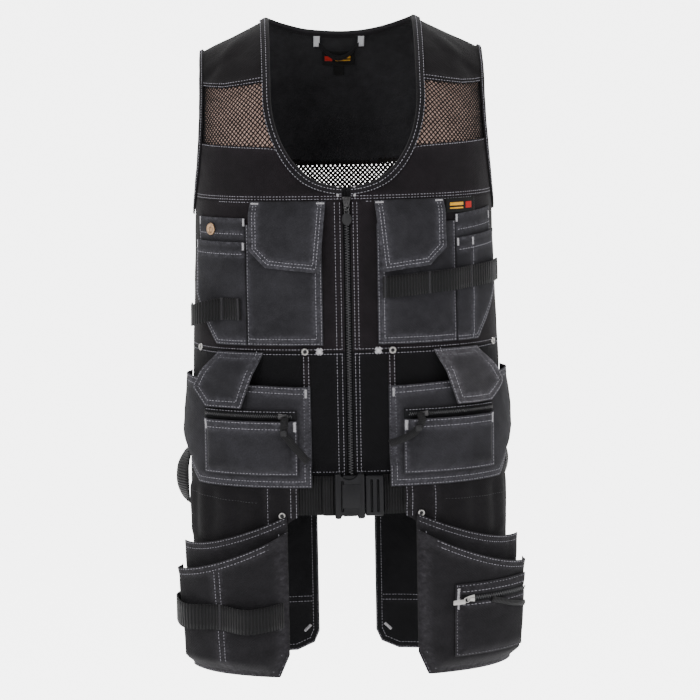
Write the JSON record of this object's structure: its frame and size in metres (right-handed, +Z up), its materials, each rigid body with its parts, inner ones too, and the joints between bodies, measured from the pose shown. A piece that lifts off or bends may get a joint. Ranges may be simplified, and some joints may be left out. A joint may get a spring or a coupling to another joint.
{
  "type": "utility work vest",
  "caption": "Sleeveless zip-front work vest with chest and hip pockets, tool loops, a buckled webbing belt and front tails with nail pockets.",
  "frame": {"origin": "the middle of the neck at shoulder height, where the vest rests on its wearer", "axes": "+Z up along the vest's length, its front towards -Y, +X to the right seen from the front"},
  "size_m": [0.4491, 0.303, 0.856],
  "materials": {
    "body_cloth": "black close-woven polyester, matte",
    "back_tail_cloth": "black close-woven polyester, matte",
    "net": "black open mesh with a tan tone in its holes at the front",
    "pocket_cloth": "dark grey heavy woven polyester, matte, light grey stitching",
    "tail_cloth": "dark grey heavy woven polyester, matte, light grey stitching",
    "binding_tape": "folded black binding tape, satin",
    "webbing": "ribbed black webbing, satin",
    "zip_tape": "black zip tape and chain",
    "strap_cloth": "black tape",
    "label_cloth": "woven label, satin",
    "buckle_plastic": "black moulded plastic, satin",
    "zip_metal": "bright plated metal",
    "rivet_metal": "bright plated metal",
    "button_bronze": "antique bronze, satin"
  },
  "bodies": {
    "root": {"armhole_binding_left": "binding_tape", "armhole_binding_right": "binding_tape", "back_body": "body_cloth", "back_mesh": "net", "back_tail_left": "back_tail_cloth", "back_tail_right": "back_tail_cloth", "back_yoke": "body_cloth", "belt": "webbing", "buckle_prong": "buckle_plastic", "buckle_socket": "buckle_plastic", "button": "button_bronze", "chest_flap_left": "pocket_cloth", "chest_flap_right": "pocket_cloth", "chest_pocket_left": "pocket_cloth", "chest_pocket_right": "pocket_cloth", "front_chest_left": "body_cloth", "front_chest_right": "body_cloth", "front_label": "label_cloth", "front_mesh_left": "net", "front_mesh_right": "net", "front_waist_left": "body_cloth", "front_waist_right": "body_cloth", "front_yoke_left": "body_cloth", "front_yoke_right": "body_cloth", "front_zip": "zip_tape", "hammer_loop": "strap_cloth", "hanger_loop": "strap_cloth", "hip_flap_left": "pocket_cloth", "hip_flap_right": "pocket_cloth", "lower_pocket_left": "pocket_cloth", "lower_pocket_right": "pocket_cloth", "nail_loops": "webbing", "nail_pocket_left": "tail_cloth", "nail_pocket_right": "tail_cloth", "nail_zip_pocket": "tail_cloth", "neck_binding": "binding_tape", "neck_label": "label_cloth", "pen_pocket_left": "pocket_cloth", "pen_pocket_right": "pocket_cloth", "pocket_zip_left": "zip_tape", "pocket_zip_right": "zip_tape", "ribbon_left": "strap_cloth", "ribbon_right": "strap_cloth", "rivet_inner_left": "rivet_metal", "rivet_inner_right": "rivet_metal", "rivet_outer_left": "rivet_metal", "rivet_outer_right": "rivet_metal", "shoulder_left": "body_cloth", "shoulder_right": "body_cloth", "tail_left": "tail_cloth", "tail_right": "tail_cloth", "tool_loops_left": "webbing", "tool_loops_right": "webbing", "tool_pocket_left": "pocket_cloth", "tool_pocket_right": "pocket_cloth", "tool_pouch_left": "tail_cloth", "tool_pouch_right": "tail_cloth", "zip_pocket_left": "pocket_cloth", "zip_pocket_right": "pocket_cloth", "zip_slider": "zip_metal"}
  },
  "joints": []
}
